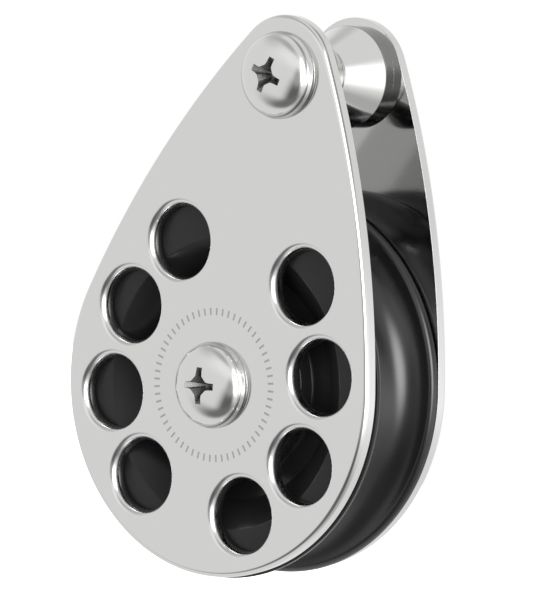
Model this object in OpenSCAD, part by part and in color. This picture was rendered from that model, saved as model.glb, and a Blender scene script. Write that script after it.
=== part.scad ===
// Single block for a rope: two teardrop cheek plates joined by a ball-bearing sheave axle and a head spool.
// The origin is the centre of the head spool. +Z runs up the block.
// +Y runs along the axle to the back cheek.

/* [Rope and sheave] */
// Diameter of the largest rope that the block takes
rope_d = 12; // [8:0.5:16]
// Outer diameter of the sheave
sheave_d = 65; // [52:0.5:90]
// Extra width of the groove over the rope
groove_play = 1.4; // [0.6:0.1:2]
// Width of the flat land beside the groove on each rim
rim_land = 1.55; // [1:0.05:2.5]
// Metal left under the deepest point of the groove
groove_floor = 1.6; // [1.2:0.1:3]
// Gap between the sheave and each cheek
sheave_gap = 0.35; // [0.3:0.05:0.8]
// Gap between the sheave and the spool beyond the rope
swallow_play = 0.4; // [0.2:0.1:3]
// Thickness of the sheave between its hub and its rim
web_t = 8.4; // [5:0.1:10]
// Length of the slope from the rim down to the web
rim_slope = 5; // [2:0.5:7]
// Wall of the hub round the bearing
hub_wall = 2.2; // [1.5:0.1:3.5]

/* [Cheeks] */
// Thickness of one cheek plate
cheek_t = 2.5; // [1.5:0.1:4]
// How far the sheave stands out beyond the round end of the cheek
cheek_inset = 0.25; // [0:0.05:2]
// Width of the cheek beyond the spool's flange at the head
head_margin = 1.4; // [0.8:0.1:4]
// Radius of the gentle curve of the two flanks
flank_r = 168; // [130:1:400]
// Wall between a lightening hole and the round edge
hole_edge_wall = 3.85; // [2.5:0.05:6]
// Wall between two neighbouring lightening holes
hole_web = 3.4; // [2:0.1:5]
// Width of the bevel round each lightening hole on the outer face
hole_bevel = 1; // [0.2:0.05:1.2]
// Lean of the line from a side hole to the upper hole
hole_lean = 29; // [24:1:32]

/* [Axle and bearing] */
// Diameter of the axle
axle_d = 11; // [9:0.5:14]
// Diameter of one ball
ball_d = 5; // [4:0.25:6]
// Thickness of the race behind the balls
race_wall = 1.4; // [1:0.1:2.5]
// Height of each race's shoulder beside the balls
race_shoulder = 0.8; // [0.4:0.1:1.2]
// Thickness of the side ring between each cheek and the bearing
side_ring_t = 1.05; // [0.6:0.05:1.5]
// Cage bar between two balls
cage_bar = 1.2; // [0.8:0.1:2]
// Radial thickness of the ball cage
cage_wall = 2.4; // [1.5:0.1:2.8]

/* [Head spool] */
// Diameter of the spool's flanges
spool_d = 17.2; // [15:0.1:24]
// Width of each flange
spool_flange_w = 2.1; // [1:0.1:3.5]
// Step from the flange down to the wide end of the cone
spool_step = 0.05; // [0.05:0.05:1]
// Diameter of the spool's waist
waist_d = 9.6; // [9:0.1:12]

/* [Screws] */
// Diameter of the screw's head
screw_head_d = 14.5; // [11:0.1:18]
// Height of the straight land under the dome
screw_land_h = 1.1; // [0.5:0.1:2]
// Height of the dome above the land
screw_dome_h = 3.1; // [2:0.1:4.5]
// Diameter of the thread
thread_d = 6; // [4:0.5:7]
// Half thickness of the solid metal left in the middle of each pin
pin_core = 0.6; // [0.4:0.1:2]
// Depth of the cross recess
recess_depth = 2.8; // [1.5:0.1:3.2]
// Width of the cross recess across its wings, at the height of the dome's crown
recess_span = 6.9; // [4:0.1:8]
// Width of one wing
recess_wing_w = 1; // [0.6:0.1:1.6]
// Diameter of the recess's round middle
recess_core_d = 2.6; // [1.8:0.1:3.4]
// Turn of the axle screws' recesses
axle_recess_turn = 12; // [0:1:89]
// Turn of the head screws' recesses
head_recess_turn = 79; // [0:1:89]

/* [Hidden] */

steel = [0.80, 0.81, 0.82];
bright_steel = [0.88, 0.89, 0.90];
black = [0.09, 0.09, 0.10];
acetal = [0.16, 0.16, 0.17];
white_acetal = [0.90, 0.89, 0.86];

$fn = 96;
arc_steps = 24;
dome_steps = 10;
slip_fit = 0.02;   // radial clearance of parts that sit still on each other
spigot_fit = 0.05; // radial clearance of a spigot in its cheek
thread_fit = 0.05; // radial clearance of a screw in its tapped hole
ball_play = 0.05;  // radial clearance of a ball in its race
side_play = 0.3;   // sideways clearance of what turns beside the side rings
pocket_play = 0.1; // clearance of a ball in its cage
end_play = 0.1;    // how far a spigot stops short of the cheek's outer face
spigot_wall = 1.2;
drill_room = 0.8;  // tapped hole beyond the screw's end
overcut = 1;       // how far a cutting body runs past a face
seam = 0.02;       // how far two bodies of one piece run into each other
ring_inset = 0.3;  // how far a side ring stops short of the hub's outside
web_ledge = 0.3;   // least flat web left beside the hub
drill_slope = 0.6; // height of a drilled hole's point over its radius

// Sheave and gap between the cheeks
sheave_r = sheave_d / 2;
groove_w = rope_d + groove_play;
groove_depth = rope_d / 2 + swallow_play;
groove_r = (groove_w * groove_w / 4 + groove_depth * groove_depth) / (2 * groove_depth);
groove_half_angle = 2 * atan(groove_depth / (groove_w / 2));
sheave_w = groove_w + 2 * rim_land;
gap = sheave_w + 2 * sheave_gap;

// Bearing, from the axle outwards
bearing_w = gap - 2 * side_ring_t;
hub_w = bearing_w - 2 * side_play;
inner_bore_r = axle_d / 2 + slip_fit;
track_r = ball_d / 2 + ball_play;
pitch_r = inner_bore_r + race_wall + track_r;
inner_race_r = pitch_r - track_r + race_shoulder;
outer_race_in_r = pitch_r + track_r - race_shoulder;
outer_race_r = pitch_r + track_r + race_wall;
hub_bore_r = outer_race_r + slip_fit;
hub_r = hub_bore_r + hub_wall;
row_y = bearing_w / 4;
cage_w = bearing_w / 2 - 2 * side_play;
ball_count = floor(2 * PI * pitch_r / (ball_d + 2 * pocket_play + cage_bar));

// Rim and web of the sheave
rim_in_r = sheave_r - groove_depth - groove_floor;
web_out_r = max(hub_r + web_ledge, rim_in_r - rim_slope);

// Places of the two pins, measured from the head
spool_r = spool_d / 2;
pin_distance = sheave_r + rope_d + swallow_play + spool_r;
axle_z = -pin_distance;
tap_r = thread_d / 2 + thread_fit;
tap_point_h = tap_r * drill_slope;
spigot_r = tap_r + spigot_wall;
spigot_l = cheek_t - end_play;
tap_l = spigot_l + gap / 2 - pin_core - tap_point_h;
shank_l = tap_l - drill_room;

// Outline of a cheek: each flank curve touches the round end and the head from outside
cheek_r = sheave_r - cheek_inset;
head_r = spool_r + head_margin;
to_low = flank_r - cheek_r;
to_head = flank_r - head_r;
flank_z = (to_low * to_low - to_head * to_head - pin_distance * pin_distance) / (2 * pin_distance);
flank_x = sqrt(to_head * to_head - flank_z * flank_z);
head_turn = atan2(-flank_z, flank_x);
low_turn = atan2(axle_z - flank_z, flank_x);

// Lightening holes: six on a ring about the axle and one pair higher up
ring_step = 40;
ring_angles = [ring_step / 2, -ring_step / 2, -3 * ring_step / 2];
hole_r = ((cheek_r - hole_edge_wall) * sin(ring_step / 2) - hole_web / 2) / (1 + sin(ring_step / 2));
ring_r = cheek_r - hole_edge_wall - hole_r;
hole_pitch = 2 * hole_r + hole_web;
right_holes = concat(
    [for (a = ring_angles) [ring_r * cos(a), axle_z + ring_r * sin(a)]],
    [[ring_r * cos(ring_angles[0]) - hole_pitch * sin(hole_lean),
      axle_z + ring_r * sin(ring_angles[0]) + hole_pitch * cos(hole_lean)]]);

function arc(c, r, a0, a1, steps) =
    [for (i = [0:steps]) let (a = a0 + (a1 - a0) * i / steps) [c[0] + r * cos(a), c[1] + r * sin(a)]];
function mirrored(points) = [for (i = [len(points) - 1:-1:0]) [-points[i][0], points[i][1]]];

// Turns a shape drawn about Z so that it lies along the axle, with its +Z towards +Y
module along_pin(z) { translate([0, 0, z]) rotate([-90, 0, 0]) children(); }

// The other end's copy of a shape made for the front
module at_back() { mirror([0, 1, 0]) children(); }

module cheek_outline() {
    right = concat(
        arc([0, axle_z], cheek_r, -90, low_turn, arc_steps),
        arc([-flank_x, flank_z], flank_r, low_turn, head_turn, arc_steps),
        arc([0, 0], head_r, head_turn, 90, arc_steps));
    polygon(concat(right, mirrored(right)));
}

module lightening_hole() {
    translate([0, 0, -overcut]) cylinder(r = hole_r, h = cheek_t + 2 * overcut);
    translate([0, 0, cheek_t - hole_bevel]) cylinder(r1 = hole_r, r2 = hole_r + hole_bevel, h = hole_bevel);
    translate([0, 0, cheek_t - seam]) cylinder(r = hole_r + hole_bevel, h = overcut);
}

// The front cheek, drawn flat with its outer face up and then stood on its inner face's plane
module cheek_plate() {
    translate([0, -gap / 2, 0]) rotate([90, 0, 0]) difference() {
        linear_extrude(cheek_t) cheek_outline();
        for (z = [0, axle_z])
            translate([0, z, -overcut]) cylinder(r = spigot_r + spigot_fit, h = cheek_t + 2 * overcut);
        for (side = [-1, 1], p = right_holes) translate([side * p[0], p[1], 0]) lightening_hole();
    }
}

module front_cheek() { color(steel) cheek_plate(); }
module back_cheek() { color(steel) at_back() cheek_plate(); }

module tapped_hole() {
    translate([0, 0, -overcut]) cylinder(r = tap_r, h = tap_l + overcut);
    translate([0, 0, tap_l]) cylinder(r1 = tap_r, r2 = 0, h = tap_point_h);
}

// Spigots at both ends of a pin, with a tapped hole in each
module pin_ends() {
    difference() {
        union() {
            children();
            cylinder(r = spigot_r, h = gap + 2 * spigot_l, center = true);
        }
        for (end = [0, 180]) rotate([end, 0, 0]) translate([0, 0, -gap / 2 - spigot_l]) tapped_hole();
    }
}

module axle() {
    color(bright_steel) along_pin(axle_z) pin_ends() cylinder(d = axle_d, h = gap, center = true);
}

module head_spool() {
    cone_h = gap / 2 - spool_flange_w;
    half = [[spool_r, gap / 2], [spool_r, cone_h], [spool_r - spool_step, cone_h], [waist_d / 2, 0]];
    color(bright_steel) along_pin(0) pin_ends()
        rotate_extrude() polygon(concat(
            [[0, gap / 2]], half, [for (i = [2:-1:0]) [half[i][0], -half[i][1]]], [[0, -gap / 2]]));
}

module cross_recess() {
    top_r = recess_span / 2;
    translate([0, 0, -recess_depth]) {
        intersection() {
            cylinder(r1 = recess_wing_w, r2 = top_r, h = recess_depth);
            for (a = [0, 90]) rotate([0, 0, a])
                translate([-top_r, -recess_wing_w / 2, 0]) cube([recess_span, recess_wing_w, recess_depth]);
        }
        cylinder(r1 = recess_wing_w, r2 = recess_core_d / 2, h = recess_depth + overcut);
    }
}

// A screw for the front, drawn with its head's seat at zero and its dome towards +Z
module screw(turn) {
    seat_r = screw_head_d / 2;
    dome = [for (i = [0:dome_steps]) let (a = 90 * i / dome_steps)
        [seat_r * cos(a), screw_land_h + screw_dome_h * sin(a)]];
    difference() {
        union() {
            rotate_extrude() polygon(concat([[0, 0], [seat_r, 0]], dome));
            translate([0, 0, -shank_l]) cylinder(d = thread_d, h = shank_l + seam);
        }
        translate([0, 0, screw_land_h + screw_dome_h]) rotate([0, 0, turn]) cross_recess();
    }
}

module front_screw(z, turn) {
    color(bright_steel) translate([0, -gap / 2 - cheek_t, z]) rotate([90, 0, 0]) screw(turn);
}

module axle_screw_front() { front_screw(axle_z, axle_recess_turn); }
module axle_screw_back() { at_back() front_screw(axle_z, axle_recess_turn); }
module head_screw_front() { front_screw(0, head_recess_turn); }
module head_screw_back() { at_back() front_screw(0, head_recess_turn); }

module side_ring() {
    color(white_acetal) along_pin(axle_z) translate([0, 0, -gap / 2]) difference() {
        cylinder(r = hub_r - ring_inset, h = side_ring_t);
        translate([0, 0, -overcut]) cylinder(r = inner_bore_r, h = side_ring_t + 2 * overcut);
    }
}

module side_ring_front() { side_ring(); }
module side_ring_back() { at_back() side_ring(); }

// The two tracks that the balls leave in a race
module ball_tracks() {
    for (side = [-1, 1]) translate([0, 0, side * row_y])
        rotate_extrude() translate([pitch_r, 0]) circle(r = track_r);
}

module race(in_r, out_r, width) {
    difference() {
        cylinder(r = out_r, h = width, center = true);
        cylinder(r = in_r, h = width + 2 * overcut, center = true);
        ball_tracks();
    }
}

module inner_race() { color(bright_steel) along_pin(axle_z) race(inner_bore_r, inner_race_r, bearing_w); }
module outer_race() { color(bright_steel) along_pin(axle_z) race(outer_race_in_r, outer_race_r, hub_w); }

module sheave() {
    rim = arc([sheave_r - groove_depth + groove_r, 0], groove_r,
              180 - groove_half_angle, 180 + groove_half_angle, arc_steps);
    side = [[hub_bore_r, hub_w / 2], [hub_r, hub_w / 2], [hub_r, web_t / 2], [web_out_r, web_t / 2],
            [rim_in_r, sheave_w / 2], [sheave_r, sheave_w / 2]];
    color(black) along_pin(axle_z) rotate_extrude($fn = 180)
        polygon(concat(side, rim, [for (i = [len(side) - 1:-1:0]) [side[i][0], -side[i][1]]]));
}

module ball_row() {
    color(bright_steel) along_pin(axle_z) translate([0, 0, -row_y])
        for (i = [0:ball_count - 1]) rotate([0, 0, 360 * i / ball_count])
            translate([pitch_r, 0, 0]) sphere(d = ball_d, $fn = 48);
}

module balls_front() { ball_row(); }
module balls_back() { at_back() ball_row(); }

module ball_cage() {
    color(acetal) along_pin(axle_z) translate([0, 0, -row_y]) difference() {
        cylinder(r = pitch_r + cage_wall / 2, h = cage_w, center = true);
        cylinder(r = pitch_r - cage_wall / 2, h = cage_w + 2 * overcut, center = true);
        for (i = [0:ball_count - 1]) rotate([0, 0, 360 * i / ball_count])
            translate([pitch_r, 0, 0]) rotate([0, 90, 0])
                cylinder(r = ball_d / 2 + pocket_play, h = cage_wall + 2 * overcut, center = true);
    }
}

module ball_cage_front() { ball_cage(); }
module ball_cage_back() { at_back() ball_cage(); }

front_cheek();
back_cheek();
axle();
axle_screw_front();
axle_screw_back();
head_spool();
head_screw_front();
head_screw_back();
side_ring_front();
side_ring_back();
inner_race();
outer_race();
sheave();
balls_front();
balls_back();
ball_cage_front();
ball_cage_back();
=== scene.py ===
import math

import bmesh
import bpy
from mathutils import Matrix, Vector


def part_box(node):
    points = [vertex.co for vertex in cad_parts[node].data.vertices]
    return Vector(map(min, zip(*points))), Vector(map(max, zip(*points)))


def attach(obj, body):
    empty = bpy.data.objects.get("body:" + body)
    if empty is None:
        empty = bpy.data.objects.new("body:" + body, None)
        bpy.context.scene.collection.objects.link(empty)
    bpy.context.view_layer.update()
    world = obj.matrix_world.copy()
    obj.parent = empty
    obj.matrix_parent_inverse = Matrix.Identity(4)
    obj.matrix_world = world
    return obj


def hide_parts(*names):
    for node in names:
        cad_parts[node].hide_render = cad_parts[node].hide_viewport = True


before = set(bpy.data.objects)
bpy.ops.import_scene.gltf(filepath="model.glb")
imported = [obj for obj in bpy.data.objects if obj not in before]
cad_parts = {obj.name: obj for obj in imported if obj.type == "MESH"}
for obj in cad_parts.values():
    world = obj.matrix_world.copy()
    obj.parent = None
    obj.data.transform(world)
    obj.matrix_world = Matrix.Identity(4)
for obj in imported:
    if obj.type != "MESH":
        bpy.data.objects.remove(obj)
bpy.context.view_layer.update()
MM = 0.001

# The viewpoint
# The block hangs free and is seen from its front right, a little from above, through a long lens.
# The camera leans to one side, so that the head of the block points up and to the right.
VIEW_AZIMUTH, VIEW_ELEVATION, VIEW_LEAN = (math.radians(a) for a in (37.36, 11.06, 12.26))
VIEW_DISTANCE, VIEW_RIGHT, VIEW_UP = 794.2 * MM, 3.63 * MM, 14.48 * MM
LENS_PX, PICTURE_LONG_SIDE_PX, SENSOR_WIDTH = 4700, 594, 36

axle_place = sum(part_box("axle"), Vector()) / 2
to_camera = Vector((math.sin(VIEW_AZIMUTH) * math.cos(VIEW_ELEVATION),
                    -math.cos(VIEW_AZIMUTH) * math.cos(VIEW_ELEVATION), math.sin(VIEW_ELEVATION)))
level_right = Vector((math.cos(VIEW_AZIMUTH), math.sin(VIEW_AZIMUTH), 0))
level_up = to_camera.cross(level_right)
view_right = level_right * math.cos(VIEW_LEAN) + level_up * math.sin(VIEW_LEAN)
view_up = level_up * math.cos(VIEW_LEAN) - level_right * math.sin(VIEW_LEAN)

lens = bpy.data.cameras.new("view")
lens.sensor_width = SENSOR_WIDTH
lens.lens = SENSOR_WIDTH * LENS_PX / PICTURE_LONG_SIDE_PX
camera = bpy.data.objects.new("view", lens)
camera_place = axle_place + to_camera * VIEW_DISTANCE + view_right * VIEW_RIGHT + view_up * VIEW_UP
camera.matrix_world = (Matrix.Translation(camera_place)
                       @ Matrix((view_right, view_up, to_camera)).transposed().to_4x4())
bpy.context.collection.objects.link(camera)
bpy.context.scene.camera = camera

# The axle, the races and the balls
# Stainless steel, turned and then ground, with grinding marks that run round the axle. The cheeks clamp
# the axle and its inner race, the outer race sits in the sheave, and the balls roll between the two.
GROUND_STEEL, GROUND_ROUGHNESS = "#C6C8C9", (0.16, 0.26)
GRINDING_PITCH, GRINDING_DEPTH, GRINDING_HAZE = 0.08 * MM, 0.0006 * MM, 3 * MM
WAVE_RING = 0.31  # metres from ring to ring of a wave texture at a scale of 1


def from_hex(code):
    """The linear colour of an sRGB hex value."""
    parts = [int(code[i:i + 2], 16) / 255 for i in (1, 3, 5)]
    return [p / 12.92 if p <= 0.04045 else ((p + 0.055) / 1.055) ** 2.4 for p in parts] + [1]


def add_node(tree, kind, settings=None, inputs=None):
    """Adds a node. Each input is a constant, or the node or socket that feeds it."""
    made = tree.nodes.new(kind)
    for name, value in (settings or {}).items():
        setattr(made, name, value)
    for key, value in (inputs or {}).items():
        if isinstance(value, bpy.types.Node):
            value = value.outputs[0]
        if isinstance(value, bpy.types.NodeSocket):
            tree.links.new(value, made.inputs[key])
        else:
            made.inputs[key].default_value = value
    return made


def new_finish(name):
    """An empty material and its node tree."""
    material = bpy.data.materials.new(name)
    material.use_nodes = True
    material.node_tree.nodes.clear()
    return material, material.node_tree


def ground_steel():
    """Ground stainless steel: rings of fine grinding marks blur its reflections along the axle."""
    material, tree = new_finish("ground_stainless_steel")
    place = add_node(tree, "ShaderNodeTexCoord").outputs["Object"]
    from_axle = add_node(tree, "ShaderNodeMapping", inputs={
        "Vector": place, "Location": (0, 0, -axle_place.z)})
    marks = add_node(tree, "ShaderNodeTexWave", {"wave_type": "RINGS", "rings_direction": "Y"}, {
        "Vector": from_axle, "Scale": WAVE_RING / GRINDING_PITCH, "Distortion": 1.5, "Detail": 2})
    haze = add_node(tree, "ShaderNodeTexNoise", inputs={"Vector": place, "Scale": 1 / GRINDING_HAZE})
    rough = add_node(tree, "ShaderNodeMapRange", inputs={
        "Value": haze, "To Min": GROUND_ROUGHNESS[0], "To Max": GROUND_ROUGHNESS[1]})
    relief = add_node(tree, "ShaderNodeBump", inputs={
        "Strength": 1, "Distance": GRINDING_DEPTH, "Height": marks.outputs["Fac"]})
    shader = add_node(tree, "ShaderNodeBsdfPrincipled", inputs={
        "Base Color": from_hex(GROUND_STEEL), "Metallic": 1, "Roughness": rough, "Normal": relief})
    add_node(tree, "ShaderNodeOutputMaterial", inputs={"Surface": shader})
    return material


def dress(names, finish):
    """Gives CAD pieces their finish and leaves their meshes alone."""
    for name in names:
        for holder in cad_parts[name].material_slots:
            holder.material = finish


dress(["axle", "inner_race", "outer_race", "balls_front", "balls_back"], ground_steel())

# The ball cages and the side rings
# Two kinds of acetal. The cages are moulded black, and the side rings are turned from natural white
# rod, whose cut face is a little waxy.
BLACK_ACETAL, MOULDED_ROUGHNESS, MOULD_GRAIN = "#1B1B1C", 0.45, 0.25 * MM
WHITE_ACETAL, TURNED_ROUGHNESS, TURNING_PITCH = "#E7E4DA", 0.4, 0.062 * MM
ACETAL_SPREAD, ACETAL_RELIEF = 0.06, 0.004 * MM


def acetal(name, colour, roughness, scale, texture, texture_settings):
    """Acetal, whose surface keeps the fine texture of its mould or its cutter."""
    material, tree = new_finish(name)
    place = add_node(tree, "ShaderNodeTexCoord").outputs["Object"]
    from_axle = add_node(tree, "ShaderNodeMapping", inputs={
        "Vector": place, "Location": (0, 0, -axle_place.z)})
    grain = add_node(tree, texture, texture_settings, {"Vector": from_axle, "Scale": scale})
    rough = add_node(tree, "ShaderNodeMapRange", inputs={
        "Value": grain.outputs["Fac"], "To Min": roughness - ACETAL_SPREAD,
        "To Max": roughness + ACETAL_SPREAD})
    relief = add_node(tree, "ShaderNodeBump", inputs={
        "Strength": 0.4, "Distance": ACETAL_RELIEF, "Height": grain.outputs["Fac"]})
    shader = add_node(tree, "ShaderNodeBsdfPrincipled", inputs={
        "Base Color": from_hex(colour), "IOR": 1.48, "Roughness": rough, "Normal": relief})
    add_node(tree, "ShaderNodeOutputMaterial", inputs={"Surface": shader})
    return material


dress(["ball_cage_front", "ball_cage_back"],
      acetal("moulded_black_acetal", BLACK_ACETAL, MOULDED_ROUGHNESS, 1 / MOULD_GRAIN,
             "ShaderNodeTexNoise", {}))
dress(["side_ring_front", "side_ring_back"],
      acetal("turned_white_acetal", WHITE_ACETAL, TURNED_ROUGHNESS, WAVE_RING / TURNING_PITCH,
             "ShaderNodeTexWave", {"wave_type": "RINGS", "rings_direction": "Y"}))

# The sheave
# Turned from aluminium bar and hard anodised black, so its skin is satin and its edges are broken with
# a small rounding. The groove is an arc that the rope burnishes, with its two crests. The web is set
# back between the hub and the rim.
SHEAVE_SEGMENTS, GROOVE_STEPS, CREST_STEPS = 200, 36, 10
GROOVE_W, GROOVE_DEPTH = 13.4, 6.4
HUB_BORE_R, HUB_R, HUB_W = 13.44, 15.64, 14.5
WEB_T, WEB_OUT_R, RIM_IN_R = 8.4, 19.5, 24.5
BORE_ROUNDING, HUB_ROUNDING, RECESS_ROUNDING = 0.3, 0.4, 0.7
RIM_ROUNDING, CREST_ROUNDING = 0.3, 1.2
ANODISED_BLACK, ANODISED_GREY, ANODISED_GLOSS = "#1E1E1F", "#222224", 0.21
BURNISHED_BLACK, BURNISHED_GREY, BURNISHED_GLOSS = "#101011", "#161618", 0.6
ANODISED_ROUGHNESS = 0.19, 0.24
ANODISED_GRAIN, ANODISED_CLOUD, ANODISED_RELIEF = 0.12 * MM, 9 * MM, 0.003 * MM
WELD = 0.001 * MM


def rounded(corners, steps=6, flat_guard=0.04):
    """Points of a profile through corners given as radius, place along the axle and rounding.

    Each rounding is an arc with one more point just before and after it, which keeps the flat stretches
    beside it flat to the eye.
    """
    points = []
    for i, (r, y, rounding) in enumerate(corners):
        here = Vector((r, y))
        if not rounding:
            points.append(here)
            continue
        coming = (here - Vector(corners[i - 1][:2])).normalized()
        going = (Vector(corners[i + 1][:2]) - here).normalized()
        turn = math.acos(max(-1, min(1, coming.dot(going))))
        inward = (going - coming * coming.dot(going)).normalized()
        start = here - coming * rounding * math.tan(turn / 2)
        points.append(start - coming * flat_guard)
        for k in range(steps + 1):
            a = turn * k / steps
            points.append(start + coming * rounding * math.sin(a)
                          + inward * rounding * (1 - math.cos(a)))
        points.append(points[-1] + going * flat_guard)
    return points


def mirrored(corners):
    """The same corners on the other side of the middle plane, in the opposite order."""
    return [(r, -y, rounding) for r, y, rounding in reversed(corners)]


def lathe_tree():
    """Geometry Nodes that turn a profile round an axle along Y.

    The profile is drawn as radius along X and place along Y. A grid gives one row of points for each
    step of the turn, and each point takes its radius and place from the profile point of its column.
    """
    tree = bpy.data.node_groups.new("lathe", "GeometryNodeTree")
    tree.is_modifier = True
    for name, kind in (("Profile", "NodeSocketGeometry"), ("Segments", "NodeSocketInt"),
                       ("Axle Height", "NodeSocketFloat"), ("Finish", "NodeSocketMaterial")):
        tree.interface.new_socket(name, in_out="INPUT", socket_type=kind)
    tree.interface.new_socket("Piece", in_out="OUTPUT", socket_type="NodeSocketGeometry")
    given = add_node(tree, "NodeGroupInput").outputs
    count = add_node(tree, "GeometryNodeAttributeDomainSize", inputs={"Geometry": given["Profile"]})
    last = add_node(tree, "ShaderNodeMath", {"operation": "SUBTRACT"}, {0: count, 1: 1})
    rows = add_node(tree, "ShaderNodeMath", {"operation": "ADD"}, {0: given["Segments"], 1: 1})
    grid = add_node(tree, "GeometryNodeMeshGrid", inputs={
        "Size X": last, "Size Y": given["Segments"], "Vertices X": count, "Vertices Y": rows})
    position = add_node(tree, "GeometryNodeInputPosition")
    spot = add_node(tree, "ShaderNodeSeparateXYZ", inputs={0: position}).outputs
    # The grid is centred, so this is half a step past the number of the column and is rounded down to it
    index = add_node(tree, "ShaderNodeMath", {"operation": "MULTIPLY_ADD"}, {
        0: count, 1: 0.5, 2: spot["X"]})
    step = add_node(tree, "ShaderNodeMath", {"operation": "DIVIDE"}, {0: math.tau, 1: given["Segments"]})
    angle = add_node(tree, "ShaderNodeMath", {"operation": "MULTIPLY"}, {0: spot["Y"], 1: step})
    sampled = add_node(tree, "GeometryNodeSampleIndex", {"data_type": "FLOAT_VECTOR"}, {
        "Geometry": given["Profile"], "Value": position, "Index": index})
    drawn = add_node(tree, "ShaderNodeSeparateXYZ", inputs={0: sampled}).outputs
    cosine = add_node(tree, "ShaderNodeMath", {"operation": "COSINE"}, {0: angle})
    sine = add_node(tree, "ShaderNodeMath", {"operation": "SINE"}, {0: angle})
    x = add_node(tree, "ShaderNodeMath", {"operation": "MULTIPLY"}, {0: drawn["X"], 1: cosine})
    z = add_node(tree, "ShaderNodeMath", {"operation": "MULTIPLY_ADD"}, {
        0: drawn["X"], 1: sine, 2: given["Axle Height"]})
    turned_place = add_node(tree, "ShaderNodeCombineXYZ", inputs={"X": x, "Y": drawn["Y"], "Z": z})
    surface = add_node(tree, "GeometryNodeSetPosition", inputs={
        "Geometry": grid, "Position": turned_place})
    closed = add_node(tree, "GeometryNodeMergeByDistance", inputs={
        "Geometry": surface, "Distance": WELD})
    smooth = add_node(tree, "GeometryNodeSetShadeSmooth", inputs={"Geometry": closed})
    real = add_node(tree, "GeometryNodeRealizeInstances", inputs={"Geometry": smooth})
    finished = add_node(tree, "GeometryNodeSetMaterial", inputs={
        "Geometry": real, "Material": given["Finish"]})
    add_node(tree, "NodeGroupOutput", inputs={"Piece": finished})
    return tree


LATHE = lathe_tree()


def use_tree(piece, tree, values):
    """Adds a Geometry Nodes modifier and sets its inputs by name."""
    modifier = piece.modifiers.new(tree.name, "NODES")
    modifier.node_group = tree
    for item in tree.interface.items_tree:
        if item.name in values:
            modifier[item.identifier] = values[item.name]


def face_outwards(mesh):
    """Turns a mesh's faces so that they point outwards."""
    shape = bmesh.new()
    shape.from_mesh(mesh)
    bmesh.ops.recalc_face_normals(shape, faces=shape.faces)
    shape.to_mesh(mesh)
    shape.free()


def baked(name, source):
    """A plain mesh object of what a piece's modifiers make, in the place of the piece."""
    graph = bpy.context.evaluated_depsgraph_get()
    mesh = bpy.data.meshes.new_from_object(source.evaluated_get(graph))
    bpy.data.objects.remove(source)
    face_outwards(mesh)
    mesh.name = name
    piece = bpy.data.objects.new(name, mesh)
    bpy.context.collection.objects.link(piece)
    return piece


def new_object(name, points, edges=(), faces=()):
    """A mesh object from points in metres."""
    mesh = bpy.data.meshes.new(name)
    mesh.from_pydata(points, edges, faces)
    made = bpy.data.objects.new(name, mesh)
    bpy.context.collection.objects.link(made)
    return made


def turned(name, profile, segments, height, finish):
    """A piece turned on the lathe from a profile in millimetres."""
    points = [(p.x * MM, p.y * MM, 0) for p in profile]
    blank = new_object(name + "_profile", points, [(i, i + 1) for i in range(len(points) - 1)])
    use_tree(blank, LATHE, {"Segments": segments, "Axle Height": height, "Finish": finish})
    return baked(name, blank)


def hard_anodised(name, dark, light, gloss):
    """Hard anodised aluminium: a dyed oxide skin, satin and nearly black, with a fine etched grain."""
    material, tree = new_finish(name)
    place = add_node(tree, "ShaderNodeTexCoord").outputs["Object"]
    grain = add_node(tree, "ShaderNodeTexNoise", inputs={
        "Vector": place, "Scale": 1 / ANODISED_GRAIN, "Detail": 3})
    cloud = add_node(tree, "ShaderNodeTexNoise", inputs={
        "Vector": place, "Scale": 1 / ANODISED_CLOUD, "Detail": 2})
    colour = add_node(tree, "ShaderNodeMix", {"data_type": "RGBA"}, {
        0: cloud, 6: from_hex(dark), 7: from_hex(light)})
    rough = add_node(tree, "ShaderNodeMapRange", inputs={
        "Value": cloud, "To Min": ANODISED_ROUGHNESS[0], "To Max": ANODISED_ROUGHNESS[1]})
    relief = add_node(tree, "ShaderNodeBump", inputs={
        "Strength": 0.5, "Distance": ANODISED_RELIEF, "Height": grain.outputs["Fac"]})
    shader = add_node(tree, "ShaderNodeBsdfPrincipled", inputs={
        "Base Color": colour.outputs[2], "IOR": 1.5, "Specular IOR Level": gloss, "Roughness": rough,
        "Normal": relief})
    add_node(tree, "ShaderNodeOutputMaterial", inputs={"Surface": shader})
    return material


sheave_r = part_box("sheave")[1].x / MM
sheave_half_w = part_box("sheave")[1].y / MM
groove_r = (GROOVE_W ** 2 / 4 + GROOVE_DEPTH ** 2) / (2 * GROOVE_DEPTH)
groove_middle_r = sheave_r - GROOVE_DEPTH + groove_r
crest_middle_in = groove_middle_r - sheave_r + CREST_ROUNDING
crest_y = math.sqrt((groove_r + CREST_ROUNDING) ** 2 - crest_middle_in ** 2)
crest_turn = math.atan2(crest_y, crest_middle_in)
side_corners = [(HUB_BORE_R, HUB_W / 2, BORE_ROUNDING),
                (HUB_R, HUB_W / 2, HUB_ROUNDING),
                (HUB_R, WEB_T / 2, RECESS_ROUNDING),
                (WEB_OUT_R, WEB_T / 2, RECESS_ROUNDING),
                (RIM_IN_R, sheave_half_w, RECESS_ROUNDING),
                (sheave_r, sheave_half_w, RIM_ROUNDING)]
for k in range(CREST_STEPS):
    a = crest_turn * k / CREST_STEPS
    side_corners.append((sheave_r - CREST_ROUNDING * (1 - math.cos(a)),
                         crest_y - CREST_ROUNDING * math.sin(a), 0))
groove_corners = []
for k in range(GROOVE_STEPS + 1):
    a = crest_turn * (1 - 2 * k / GROOVE_STEPS)
    groove_corners.append((groove_middle_r - groove_r * math.cos(a), groove_r * math.sin(a), 0))
bore_middle = [(HUB_BORE_R, 0, 0)]
sheave_profile = rounded(bore_middle + side_corners + groove_corners + mirrored(side_corners)
                         + bore_middle)
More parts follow.
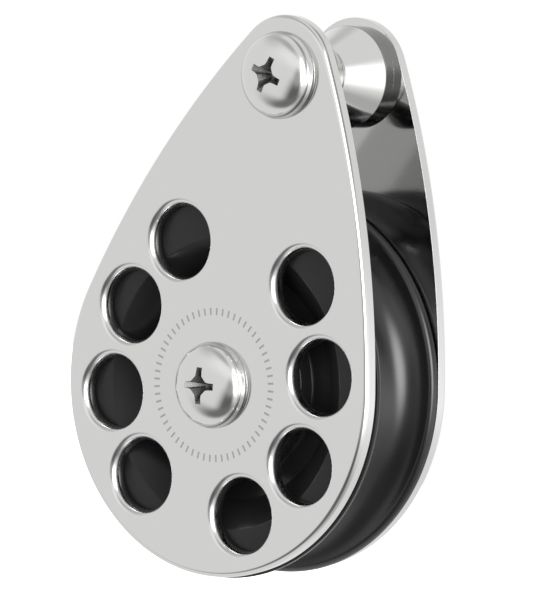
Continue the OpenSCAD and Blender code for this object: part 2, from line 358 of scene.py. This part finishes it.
sheave_finish = hard_anodised("black_hard_anodised_aluminium", ANODISED_BLACK, ANODISED_GREY,
                              ANODISED_GLOSS)
groove_finish = hard_anodised("burnished_anodised_groove", BURNISHED_BLACK, BURNISHED_GREY,
                              BURNISHED_GLOSS)
sheave = turned("sheave_wheel_turned", sheave_profile, SHEAVE_SEGMENTS, axle_place.z, sheave_finish)
sheave.data.materials.append(groove_finish)
for face in sheave.data.polygons:
    from_axis = math.hypot(face.center.x, face.center.z - axle_place.z)
    if from_axis > RIM_IN_R * MM and abs(face.center.y) < crest_y * MM:
        face.material_index = len(sheave.data.materials) - 1
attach(sheave, "sheave_wheel")
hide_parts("sheave")

# The head spool
# Turned from stainless bar and polished bright: two flanges and two cones that meet at a waist, where
# a shackle or a lashing sits. The flanges' rims are painted a darker grey, which is painted shade. A
# spigot at each end sits in the cheek and takes a screw.
SPOOL_SEGMENTS = 160
FLANGE_W, FLANGE_FACE_ROUNDING, FLANGE_CONE_ROUNDING = 2.1, 0.03, 0.05
WAIST_R, WAIST_ROUNDING = 4.8, 0.5
SPIGOT_R, SPIGOT_L, SPIGOT_ROUNDING = 4.25, 2.4, 0.2
TAP_R, TAP_POINT, PIN_CORE = 3.05, 1.83, 0.6
SPOOL_STEEL, SPOOL_ROUGHNESS = "#CFCFCD", (0.08, 0.12)
# Painted shade: the darker grey of the flange rims, and how far in from the rim it begins
FLANGE_RIM_SHADE_GREY, SHADED_RIM_DEPTHS = "#8F8F8E", (0.08, 0.03)
POLISHING_HAZE = 5 * MM
SCRATCH_PITCH, SCRATCH_LENGTH, SCRATCH_DEPTH = 0.15 * MM, 4 * MM, 0.0004 * MM
SCRATCH_TURN = 0.3, 0.2, 0.5


def polished_steel(name, colour, roughness, rim_shade_colour=None):
    """Polished stainless steel: nearly a mirror, with a faint haze and hairline polishing scratches."""
    material, tree = new_finish(name)
    place = add_node(tree, "ShaderNodeTexCoord").outputs["Object"]
    haze = add_node(tree, "ShaderNodeTexNoise", inputs={
        "Vector": place, "Scale": 1 / POLISHING_HAZE, "Detail": 4})
    rough = add_node(tree, "ShaderNodeMapRange", inputs={
        "Value": haze, "To Min": roughness[0], "To Max": roughness[1]})
    stretched = add_node(tree, "ShaderNodeMapping", inputs={
        "Vector": place, "Rotation": SCRATCH_TURN,
        "Scale": (1 / SCRATCH_LENGTH, 1 / SCRATCH_PITCH, 1 / SCRATCH_PITCH)})
    scratches = add_node(tree, "ShaderNodeTexNoise", inputs={
        "Vector": stretched, "Scale": 1, "Detail": 2})
    relief = add_node(tree, "ShaderNodeBump", inputs={
        "Strength": 0.5, "Distance": SCRATCH_DEPTH, "Height": scratches.outputs["Fac"]})
    shade = from_hex(colour)
    # The rim colour paints the spool's flange rims darker grey, which is painted shade
    if rim_shade_colour:
        spot = add_node(tree, "ShaderNodeSeparateXYZ", inputs={0: place}).outputs
        flat = add_node(tree, "ShaderNodeCombineXYZ", inputs={"X": spot["X"], "Z": spot["Z"]})
        reach = add_node(tree, "ShaderNodeVectorMath", {"operation": "LENGTH"}, {0: flat})
        on_shaded_rim = add_node(tree, "ShaderNodeMapRange", inputs={
            "Value": reach.outputs["Value"], "From Min": (spool_r - SHADED_RIM_DEPTHS[0]) * MM,
            "From Max": (spool_r - SHADED_RIM_DEPTHS[1]) * MM, "To Min": 0, "To Max": 1})
        shade = add_node(tree, "ShaderNodeMix", {"data_type": "RGBA"}, {
            0: on_shaded_rim, 6: shade, 7: from_hex(rim_shade_colour)}).outputs[2]
    shader = add_node(tree, "ShaderNodeBsdfPrincipled", inputs={
        "Base Color": shade, "Metallic": 1, "Roughness": rough, "Normal": relief})
    add_node(tree, "ShaderNodeOutputMaterial", inputs={"Surface": shader})
    return material


spool_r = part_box("head_spool")[1].x / MM
gap_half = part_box("back_cheek")[0].y / MM
spigot_end = gap_half + SPIGOT_L
spool_half = [(0, PIN_CORE, 0),
              (TAP_R, PIN_CORE + TAP_POINT, 0),
              (TAP_R, spigot_end, 0),
              (SPIGOT_R, spigot_end, SPIGOT_ROUNDING),
              (SPIGOT_R, gap_half, 0),
              (spool_r, gap_half, FLANGE_FACE_ROUNDING),
              (spool_r, gap_half - FLANGE_W, FLANGE_CONE_ROUNDING)]
spool_finish = polished_steel("polished_stainless_spool", SPOOL_STEEL, SPOOL_ROUGHNESS, FLANGE_RIM_SHADE_GREY)
spool = turned("head_spool_turned",
               rounded(spool_half + [(WAIST_R, 0, WAIST_ROUNDING)] + mirrored(spool_half)),
               SPOOL_SEGMENTS, 0, spool_finish)
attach(spool, "block_frame")
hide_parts("head_spool")

# The cheeks
# Two teardrop plates cut from stainless sheet, their outer edges and the lips of their eight lightening
# holes rounded off before both faces were polished to a mirror. A ring of plain ticks is etched round
# the axle on the outer faces.
FLANK_R = 168
EDGE_ROUNDING, BACK_EDGE_ROUNDING = 1.0, 0.05
HOLE_ROUNDING, HOLE_ROUNDING_DEPTH = 1.45, 2.0
LIP_STEPS, LEAD_IN = 12, 1
ROUND_END_STEPS, FLANK_STEPS, HEAD_STEPS, HOLE_STEPS = 90, 28, 44, 72
HOLE_EDGE_WALL, HOLE_WEB = 3.85, 3.4
HOLE_HALF_STEP, HOLE_LEAN = math.radians(20), math.radians(29)
SPIGOT_HOLE_R = 4.3
TICK_COUNT, TICK_W, TICK_IN_R, TICK_OUT_R, TICK_BLUR = 60, 0.34, 11.7, 12.9, 0.03
CHEEK_STEEL, CHEEK_ROUGHNESS, INNER_FACE_ROUGHNESS = "#CFCFCE", (0.03, 0.07), 0.07
ETCHED_GREY, ETCHED_ROUGHNESS = "#A6A6A4", 0.4
BUFFED_ROUGHNESS = 0.13, 0.17
REAMED_STEEL, REAMED_ROUGHNESS = "#8E8E8C", (0.28, 0.36)
CHEEK_SCRATCH_DEPTH, CHEEK_SCRATCH_TURN = 0.0002 * MM, (0, 0.4, 0)
MIRROR, BUFFED, REAMED = 0, 1, 2  # the places of a cheek's three finishes in its material list

cheek_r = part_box("back_cheek")[1].x / MM
head_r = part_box("back_cheek")[1].z / MM
cheek_t = (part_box("back_cheek")[1].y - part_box("back_cheek")[0].y) / MM
axle_z = axle_place.z / MM
to_round_end, to_head = FLANK_R - cheek_r, FLANK_R - head_r
flank_z = (to_round_end ** 2 - to_head ** 2 - axle_z ** 2) / (-2 * axle_z)
flank_x = math.sqrt(to_head ** 2 - flank_z ** 2)
head_turn = math.atan2(-flank_z, flank_x)
round_end_turn = math.atan2(axle_z - flank_z, flank_x)

# Six of the eight holes lie on a ring about the axle, and the other two lie higher up
hole_r = (((cheek_r - HOLE_EDGE_WALL) * math.sin(HOLE_HALF_STEP) - HOLE_WEB / 2)
          / (1 + math.sin(HOLE_HALF_STEP)))
ring_r = cheek_r - HOLE_EDGE_WALL - hole_r
hole_pitch = 2 * hole_r + HOLE_WEB
right_holes = [(ring_r * math.cos(a), axle_z + ring_r * math.sin(a))
               for a in (HOLE_HALF_STEP, -HOLE_HALF_STEP, -3 * HOLE_HALF_STEP)]
right_holes.append((right_holes[0][0] - hole_pitch * math.sin(HOLE_LEAN),
                    right_holes[0][1] + hole_pitch * math.cos(HOLE_LEAN)))
lightening_holes = [(side * x, z) for side in (-1, 1) for x, z in right_holes]


def outline(inset):
    """The cheek's outline drawn in by inset, as points and outward directions in the plate's plane."""
    half = []
    for x, z, radius, start, end, steps in (
            (0, axle_z, cheek_r, -math.pi / 2, round_end_turn, ROUND_END_STEPS),
            (-flank_x, flank_z, FLANK_R, round_end_turn, head_turn, FLANK_STEPS),
            (0, 0, head_r, head_turn, math.pi / 2, HEAD_STEPS)):
        for k in range(steps):
            a = start + (end - start) * k / steps
            out = Vector((math.cos(a), math.sin(a)))
            half.append((Vector((x, z)) + out * (radius - inset), out))
    top = [(Vector((0, head_r - inset)), Vector((0, 1)))]
    other = [(Vector((-p.x, p.y)), Vector((-n.x, n.y))) for p, n in reversed(half[1:])]
    return half + top + other


def hole(x, z, radius):
    """A function that gives a hole's edge, widened by inset, and directions out of the metal."""
    turns = [math.tau * k / HOLE_STEPS for k in range(HOLE_STEPS)]
    rays = [Vector((math.cos(a), math.sin(a))) for a in turns]

    def edge(inset):
        return [(Vector((x, z)) + ray * (radius + inset), -ray) for ray in rays]
    return edge


def edge_rows(front, depth):
    """Inset, depth below the outer face and lean of the normal, from the outer face to the inner one.

    The profile's two end points lie LEAD_IN away and only give the first and the last row their lean.
    """
    lip = rounded([(front + LEAD_IN, 0, 0), (0, 0, front), (0, front + LEAD_IN, 0)], steps=LIP_STEPS)
    points = [Vector((p.x, p.y * depth / front)) for p in lip[:-1]]
    points += rounded([(0, 0, 0), (0, cheek_t, BACK_EDGE_ROUNDING), (LEAD_IN, cheek_t, 0)])[1:]
    rows = []
    for before, here, after in zip(points, points[1:], points[2:]):
        along = (after - here).normalized() + (here - before).normalized()
        rows.append((here.x, here.y, math.atan2(along.y, -along.x)))
    return rows


def cheek_plate(name, side, finishes):
    """One cheek: rounded edges swept round the outline and every hole, then filled on both faces."""
    shape, normals = bmesh.new(), []
    face_normal = Vector((0, side, 0))
    outer, inner = [], []
    # Each edge has the width and depth of its front rounding, then the finish of its lip and of its wall
    edges = [(outline, EDGE_ROUNDING, EDGE_ROUNDING, MIRROR, MIRROR)]
    for x, z in lightening_holes:
        edges.append((hole(x, z, hole_r), HOLE_ROUNDING, HOLE_ROUNDING_DEPTH, BUFFED, REAMED))
    for z in (0, axle_z):
        edges.append((hole(0, z, SPIGOT_HOLE_R), BACK_EDGE_ROUNDING, BACK_EDGE_ROUNDING, BUFFED, REAMED))
    for edge, front, front_depth, lip_finish, wall_finish in edges:
        rings, rows = [], edge_rows(front, front_depth)
        for inset, depth, lean in rows:
            ring = []
            y = side * (gap_half + cheek_t - depth) * MM
            for p, out in edge(inset):
                ring.append(shape.verts.new((p.x * MM, y, p.y * MM)))
                normals.append(face_normal * math.cos(lean) + Vector((out.x, 0, out.y)) * math.sin(lean))
            rings.append(ring)
        for ring, following, row in zip(rings, rings[1:], rows):
            for k in range(len(ring)):
                face = shape.faces.new((ring[k - 1], ring[k], following[k], following[k - 1]))
                face.material_index = lip_finish if row[1] < front_depth else wall_finish
        outer += [shape.edges.get((rings[0][k - 1], rings[0][k])) for k in range(len(rings[0]))]
        inner += [shape.edges.get((rings[-1][k - 1], rings[-1][k])) for k in range(len(rings[-1]))]
    for loop in (outer, inner):
        bmesh.ops.triangle_fill(shape, edges=loop, use_beauty=True)
    bmesh.ops.recalc_face_normals(shape, faces=shape.faces)
    mesh = bpy.data.meshes.new(name)
    shape.to_mesh(mesh)
    shape.free()
    mesh.shade_smooth()
    mesh.normals_split_custom_set_from_vertices(normals)
    for finish in finishes:
        mesh.materials.append(finish)
    plate = bpy.data.objects.new(name, mesh)
    bpy.context.collection.objects.link(plate)
    return plate


def etched_mirror_steel():
    """Mirror polished sheet with a ring of acid-etched ticks, which are greyer and matt."""
    material, tree = new_finish("mirror_polished_stainless_sheet")
    place = add_node(tree, "ShaderNodeTexCoord").outputs["Object"]
    centred = add_node(tree, "ShaderNodeMapping", inputs={
        "Vector": place, "Location": (0, 0, -axle_place.z)})
    from_axle = add_node(tree, "ShaderNodeSeparateXYZ", inputs={0: centred}).outputs
    flat = add_node(tree, "ShaderNodeCombineXYZ", inputs={"X": from_axle["X"], "Z": from_axle["Z"]})
    reach = add_node(tree, "ShaderNodeVectorMath", {"operation": "LENGTH"}, {0: flat}).outputs["Value"]
    angle = add_node(tree, "ShaderNodeMath", {"operation": "ARCTAN2"}, {
        0: from_axle["X"], 1: from_axle["Z"]})
    # Share is how far off the nearest tick a point is, in ticks. Times its reach, it is the distance
    # along the ring times the ticks in a radian.
    ticks_a_radian = TICK_COUNT / math.tau
    share = add_node(tree, "ShaderNodeMath", {"operation": "MULTIPLY"}, {0: angle, 1: ticks_a_radian})
    share = add_node(tree, "ShaderNodeMath", {"operation": "PINGPONG"}, {0: share, 1: 0.5})
    aside = add_node(tree, "ShaderNodeMath", {"operation": "MULTIPLY"}, {0: share, 1: reach})
    in_tick = add_node(tree, "ShaderNodeMapRange", inputs={
        "Value": aside, "From Min": (TICK_W / 2 + TICK_BLUR) * MM * ticks_a_radian,
        "From Max": (TICK_W / 2 - TICK_BLUR) * MM * ticks_a_radian, "To Min": 0, "To Max": 1})
    ring_middle, ring_half = (TICK_IN_R + TICK_OUT_R) / 2, (TICK_OUT_R - TICK_IN_R) / 2
    off_ring = add_node(tree, "ShaderNodeMath", {"operation": "SUBTRACT"}, {
        0: reach, 1: ring_middle * MM})
    off_ring = add_node(tree, "ShaderNodeMath", {"operation": "ABSOLUTE"}, {0: off_ring})
    in_ring = add_node(tree, "ShaderNodeMapRange", inputs={
        "Value": off_ring, "From Min": (ring_half + TICK_BLUR) * MM,
        "From Max": (ring_half - TICK_BLUR) * MM, "To Min": 0, "To Max": 1})
    from_middle = add_node(tree, "ShaderNodeMath", {"operation": "ABSOLUTE"}, {0: from_axle["Y"]})
    inner_face = add_node(tree, "ShaderNodeMath", {"operation": "LESS_THAN"}, {
        0: from_middle, 1: (gap_half + BACK_EDGE_ROUNDING) * MM})
    outside = add_node(tree, "ShaderNodeMath", {"operation": "GREATER_THAN"}, {
        0: from_middle, 1: (gap_half + cheek_t / 2) * MM})
    etched = add_node(tree, "ShaderNodeMath", {"operation": "MULTIPLY"}, {0: in_tick, 1: in_ring})
    etched = add_node(tree, "ShaderNodeMath", {"operation": "MULTIPLY"}, {0: etched, 1: outside})
    colour = add_node(tree, "ShaderNodeMix", {"data_type": "RGBA"}, {
        0: etched, 6: from_hex(CHEEK_STEEL), 7: from_hex(ETCHED_GREY)})
    haze = add_node(tree, "ShaderNodeTexNoise", inputs={
        "Vector": place, "Scale": 1 / POLISHING_HAZE, "Detail": 4})
    rough = add_node(tree, "ShaderNodeMapRange", inputs={
        "Value": haze, "To Min": CHEEK_ROUGHNESS[0], "To Max": CHEEK_ROUGHNESS[1]})
    rough = add_node(tree, "ShaderNodeMix", inputs={0: etched, 2: rough, 3: ETCHED_ROUGHNESS})
    rough = add_node(tree, "ShaderNodeMix", inputs={0: inner_face, 2: rough, 3: INNER_FACE_ROUGHNESS})
    stretched = add_node(tree, "ShaderNodeMapping", inputs={
        "Vector": place, "Rotation": CHEEK_SCRATCH_TURN,
        "Scale": (1 / SCRATCH_PITCH, 1 / SCRATCH_PITCH, 1 / SCRATCH_LENGTH)})
    scratches = add_node(tree, "ShaderNodeTexNoise", inputs={
        "Vector": stretched, "Scale": 1, "Detail": 2})
    relief = add_node(tree, "ShaderNodeBump", inputs={
        "Strength": 0.5, "Distance": CHEEK_SCRATCH_DEPTH, "Height": scratches.outputs["Fac"]})
    shader = add_node(tree, "ShaderNodeBsdfPrincipled", inputs={
        "Base Color": colour.outputs[2], "Metallic": 1, "Roughness": rough, "Normal": relief})
    add_node(tree, "ShaderNodeOutputMaterial", inputs={"Surface": shader})
    return material


cheek_finishes = [etched_mirror_steel(),
                  polished_steel("buffed_stainless_lips", CHEEK_STEEL, BUFFED_ROUGHNESS),
                  polished_steel("reamed_stainless_bores", REAMED_STEEL, REAMED_ROUGHNESS)]
for node, side in (("front_cheek", -1), ("back_cheek", 1)):
    plate = cheek_plate(node + "_plate", side, cheek_finishes)
    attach(plate, "block_frame")
    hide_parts(node)

# The screws
# Four pan head screws turned from polished stainless, each with a straight land under its dome and a
# cross recess punched into the crown. They clamp the cheeks to the axle and the spool. The recess is
# painted a darker grey, which is painted shade.
SCREW_SEGMENTS, DOME_STEPS = 128, 28
LAND_H, LAND_STRAIGHT, LAND_BEVEL_W, LAND_ROUNDING = 1.1, 0.5, 0.28, 0.12
DOME_FOOT_ROUNDING, SHANK_ROUNDING = 0.25, 0.4
SHANK_R, TAP_L, SHANK_SHORT = 3, 8.57, 0.8
RECESS_DEPTH, RECESS_FLOOR_SHARE, RECESS_POINT, PUNCH_PROUD = 2.6, 0.3, 0.4, 0.6
RECESS_STAR = [(3.35, 0.62), (2.2, 0.62), (1.6, 0.72), (1.15, 1.15)]
RECESS_TURNS = {"axle": math.radians(12), "head": math.radians(79)}
SHARP_EDGE = math.radians(16)
SCREW_STEEL, SCREW_ROUGHNESS = "#D0D0CE", (0.13, 0.16)
# The recess's darker grey is painted shade in the hollow
RECESS_SHADE_STEEL, PUNCHED_ROUGHNESS = "#8C8C8A", (0.45, 0.55)

screw_finish = polished_steel("polished_stainless_screws", SCREW_STEEL, SCREW_ROUGHNESS)
recess_shade_finish = polished_steel("recess_painted_shade_steel", RECESS_SHADE_STEEL, PUNCHED_ROUGHNESS)
screw_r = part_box("axle_screw_front")[1].x / MM
seat_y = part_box("back_cheek")[1].y / MM
crown = -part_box("axle_screw_front")[0].y / MM - seat_y
shank_l = TAP_L - SHANK_SHORT
dome_r = screw_r - LAND_BEVEL_W
screw_corners = [(0, shank_l, 0),
                 (SHANK_R, shank_l, SHANK_ROUNDING),
                 (SHANK_R, 0, 0),
                 (screw_r, 0, LAND_ROUNDING),
                 (screw_r, -LAND_STRAIGHT, LAND_ROUNDING)]
for k in range(DOME_STEPS):
    a = math.pi / 2 * k / DOME_STEPS
    screw_corners.append((dome_r * math.cos(a), -LAND_H - (crown - LAND_H) * math.sin(a),
                          0 if k else DOME_FOOT_ROUNDING))
screw_corners.append((0, -crown, 0))
blank = turned("screw_blank", rounded(screw_corners), SCREW_SEGMENTS, 0, screw_finish)


def star(scale, y):
    """The recess's outline, a cross with four wings, at one depth."""
    quarter = RECESS_STAR + [(b, a) for a, b in reversed(RECESS_STAR[:-1])]
    points = []
    for k in range(4):
        c, s = round(math.cos(math.pi / 2 * k)), round(math.sin(math.pi / 2 * k))
        for a, b in quarter:
            points.append((scale * (c * a - s * b) * MM, y * MM, scale * (s * a + c * b) * MM))
    return points


# The punch stands proud of the crown, and its flanks spread as much there as they do below it
top_scale = 1 + (1 - RECESS_FLOOR_SHARE) * PUNCH_PROUD / RECESS_DEPTH
top_star = star(top_scale, -crown - PUNCH_PROUD)
floor_star = star(RECESS_FLOOR_SHARE, -crown + RECESS_DEPTH)
punch_tip = (0, (-crown + RECESS_DEPTH + RECESS_POINT) * MM, 0)
n = len(top_star)
punch_faces = [tuple(range(n))]
punch_faces += [(k, (k + 1) % n, n + (k + 1) % n, n + k) for k in range(n)]
punch_faces += [(n + k, n + (k + 1) % n, 2 * n) for k in range(n)]
cutter = new_object("recess_punch", top_star + floor_star + [punch_tip], faces=punch_faces)
face_outwards(cutter.data)
cutter.data.materials.append(recess_shade_finish)
punch = blank.modifiers.new("recess", "BOOLEAN")
punch.operation = "DIFFERENCE"
punch.object = cutter
punch.solver = "EXACT"
punch.material_mode = "TRANSFER"
pattern = baked("screw_pattern", blank)
bpy.data.objects.remove(cutter)
pattern.data.shade_smooth()
pattern.data.set_sharp_from_angle(angle=SHARP_EDGE)
for face in pattern.data.polygons:
    face.use_smooth = pattern.data.materials[face.material_index] != recess_shade_finish


def screw_tree():
    """Geometry Nodes that set a screw on each point, turned by the point's own angles."""
    tree = bpy.data.node_groups.new("set_screws", "GeometryNodeTree")
    tree.is_modifier = True
    for name, kind in (("Pin Ends", "NodeSocketGeometry"), ("Screw", "NodeSocketObject"),
                       ("Finish", "NodeSocketMaterial"), ("Recess Shade", "NodeSocketMaterial")):
        tree.interface.new_socket(name, in_out="INPUT", socket_type=kind)
    tree.interface.new_socket("Screws", in_out="OUTPUT", socket_type="NodeSocketGeometry")
    given = add_node(tree, "NodeGroupInput").outputs
    screw = add_node(tree, "GeometryNodeObjectInfo", inputs={"Object": given["Screw"]})
    angles = add_node(tree, "GeometryNodeInputNamedAttribute", {"data_type": "FLOAT_VECTOR"}, {
        "Name": "turn"})
    rotation = add_node(tree, "FunctionNodeEulerToRotation", inputs={"Euler": angles})
    placed = add_node(tree, "GeometryNodeInstanceOnPoints", inputs={
        "Points": given["Pin Ends"], "Instance": screw.outputs["Geometry"], "Rotation": rotation})
    real = add_node(tree, "GeometryNodeRealizeInstances", inputs={"Geometry": placed})
    # The recess keeps its painted shade, and every other face takes the screw's finish
    punched = add_node(tree, "GeometryNodeMaterialSelection", inputs={
        "Material": given["Recess Shade"]})
    smooth = add_node(tree, "FunctionNodeBooleanMath", {"operation": "NOT"}, {0: punched})
    finished = add_node(tree, "GeometryNodeSetMaterial", inputs={
        "Geometry": real, "Selection": smooth, "Material": given["Finish"]})
    add_node(tree, "NodeGroupOutput", inputs={"Screws": finished})
    return tree


ends = [(pin, z, side) for pin, z in (("axle", axle_z), ("head", 0)) for side in (-1, 1)]
pin_ends = new_object("pin_ends", [(0, side * seat_y * MM, z * MM) for pin, z, side in ends])
turns = pin_ends.data.attributes.new("turn", "FLOAT_VECTOR", "POINT")
for holder, (pin, z, side) in zip(turns.data, ends):
    holder.vector = (0, side * RECESS_TURNS[pin], math.pi if side > 0 else 0)
use_tree(pin_ends, screw_tree(), {
    "Screw": pattern, "Finish": screw_finish, "Recess Shade": recess_shade_finish})
screws = baked("cap_screws", pin_ends)
bpy.data.objects.remove(pattern)
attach(screws, "block_frame")
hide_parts("axle_screw_front", "axle_screw_back", "head_screw_front", "head_screw_back")

# The floor and the studio light
# The block hangs in a white room over a pale floor. Polished steel shows only what is around it, so the
# room has a dimmer ceiling, a tall key light and a broad soft panel at the right, and a soft black flag
# below the camera, with a foot under it and a post above it.
FLOOR_Z, FLOOR_HALF_W = -900 * MM, 3000 * MM
FLOOR_PAINT = "#F2F2F2"
ROOM_WHITE = 1.0

# Each patch of the room is named, with the azimuth and elevation of its middle, its half width and half
# height in degrees, how soft its edge is, and its brightness. Azimuth 0 is in front of the block, and a
# later patch lies over the earlier ones.
ROOM = [("ceiling", -90, 42, 36, 14, 0.6, 0.75),
        ("ceiling_in_front", -25, 56, 34, 11, 0.6, 0.6),
        ("ceiling_behind", 165, 58, 29, 15, 0.5, 0.4),
        ("wall_shade", 122, 38, 18, 9, 0.5, 0.4),
        ("white_wall", 148, 0, 26, 24, 0.5, 1.1),
        ("wall_top", 144, 13, 10, 16, 0.6, 0.98),
        ("floor_shade", 85, -45, 40, 18, 0.6, 0.6),
        ("glow_above_camera", 15, 30, 42, 14, 0.6, 1.2),
        ("right_panel", 94, 4, 44, 12, 0.9, 1.9),
        ("key_light", 62, 21.5, 12.5, 21, 0.7, 8.5),
        ("black_flag", 32, -30, 24, 32, 0.5, 0.16),
        ("flag_foot", 14, -50, 42, 12, 0.5, 0.22),
        ("flag_post", 32, 3, 13, 15, 0.6, 0.5)]

floor = new_object("floor", [(x * FLOOR_HALF_W, y * FLOOR_HALF_W, FLOOR_Z)
                             for x, y in ((-1, -1), (1, -1), (1, 1), (-1, 1))], faces=[(0, 1, 2, 3)])
# Painted boards, matt and nearly white. The camera sees them lifted to the white of the room.
floor_finish, tree = new_finish("pale_floor")
paint = add_node(tree, "ShaderNodeBsdfDiffuse", inputs={"Color": from_hex(FLOOR_PAINT)})
seen = add_node(tree, "ShaderNodeLightPath").outputs["Is Camera Ray"]
lift = add_node(tree, "ShaderNodeEmission", inputs={"Strength": seen})
both = add_node(tree, "ShaderNodeAddShader", inputs={0: paint, 1: lift})
add_node(tree, "ShaderNodeOutputMaterial", inputs={"Surface": both})
floor.data.materials.append(floor_finish)
floor.visible_glossy = False
floor.visible_shadow = False

world = bpy.data.worlds.new("white_studio")
bpy.context.scene.world = world
world.use_nodes = True
tree = world.node_tree
tree.nodes.clear()
around = add_node(tree, "ShaderNodeTexCoord").outputs["Generated"]
room = ROOM_WHITE
for name, azimuth, elevation, half_w, half_h, softness, brightness in ROOM:
    a, e = math.radians(azimuth), math.radians(elevation)
    middle = Vector((math.sin(a) * math.cos(e), -math.cos(a) * math.cos(e), math.sin(e)))
    across = add_node(tree, "ShaderNodeMapping", {"vector_type": "TEXTURE"}, {
        "Vector": around, "Location": middle, "Rotation": (-e, 0, a),
        "Scale": (math.sin(math.radians(half_w)), 1, math.sin(math.radians(half_h)))})
    reach = add_node(tree, "ShaderNodeVectorMath", {"operation": "LENGTH"}, {0: across}).outputs["Value"]
    share = add_node(tree, "ShaderNodeMapRange", {"interpolation_type": "SMOOTHSTEP"}, {
        "Value": reach, "From Min": 1 + softness, "From Max": 1 - softness, "To Min": 0, "To Max": 1})
    room = add_node(tree, "ShaderNodeMix", inputs={0: share, 2: room, 3: brightness})

# Seen straight or through glass, the room is plain white. Only reflections and the light on the block
# have its patches.
rays = add_node(tree, "ShaderNodeLightPath").outputs
direct = add_node(tree, "ShaderNodeMath", {"operation": "MAXIMUM"}, {
    0: rays["Is Camera Ray"], 1: rays["Is Transmission Ray"]})
strength = add_node(tree, "ShaderNodeMix", inputs={0: direct, 2: room, 3: ROOM_WHITE})
sky = add_node(tree, "ShaderNodeBackground", inputs={"Color": (1, 1, 1, 1), "Strength": strength})
add_node(tree, "ShaderNodeOutputWorld", inputs={"Surface": sky})

bpy.context.scene.view_settings.view_transform = "Standard"
